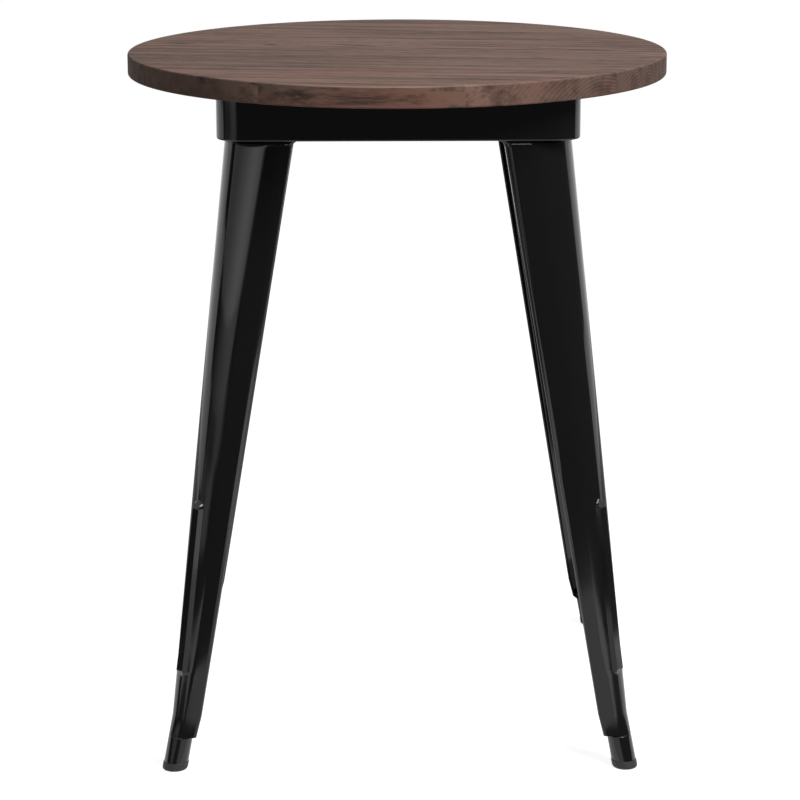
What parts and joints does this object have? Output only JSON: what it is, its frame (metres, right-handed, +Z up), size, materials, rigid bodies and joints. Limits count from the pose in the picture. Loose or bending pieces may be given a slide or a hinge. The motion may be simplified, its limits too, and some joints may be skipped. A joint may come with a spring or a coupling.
{
  "type": "bistro table",
  "caption": "Round bistro table: a disc of glued walnut-stained boards on a square black steel apron with splayed pressed-steel legs that end in tubes with rubber caps.",
  "frame": {"origin": "on the floor, under the middle of the round top", "axes": "+Z up, +X to the right and +Y to the rear, seen from the front of the table"},
  "size_m": [0.6029, 0.603, 0.76],
  "materials": {
    "walnut_stained_wood": "matte oil stain over brushed grain",
    "black_coated_steel": "gloss black coat on pressed sheet",
    "zinc_plated_steel": "bright zinc plating",
    "black_rubber": "matte moulded rubber"
  },
  "bodies": {
    "root": {"board_1": "walnut_stained_wood", "board_2": "walnut_stained_wood", "board_3": "walnut_stained_wood", "board_4": "walnut_stained_wood", "board_5": "walnut_stained_wood", "board_6": "walnut_stained_wood", "apron": "black_coated_steel", "rail_left": "black_coated_steel", "rail_right": "black_coated_steel", "bracket_rear_right": "black_coated_steel", "bracket_rear_left": "black_coated_steel", "bracket_front_left": "black_coated_steel", "bracket_front_right": "black_coated_steel", "leg_rear_right": "black_coated_steel", "leg_rear_left": "black_coated_steel", "leg_front_left": "black_coated_steel", "leg_front_right": "black_coated_steel", "foot_cap_rear_right": "black_rubber", "foot_cap_rear_left": "black_rubber", "foot_cap_front_left": "black_rubber", "foot_cap_front_right": "black_rubber", "leg_bolts": "zinc_plated_steel", "leg_washers": "zinc_plated_steel", "leg_nuts": "zinc_plated_steel", "wood_screws": "zinc_plated_steel"}
  },
  "joints": []
}
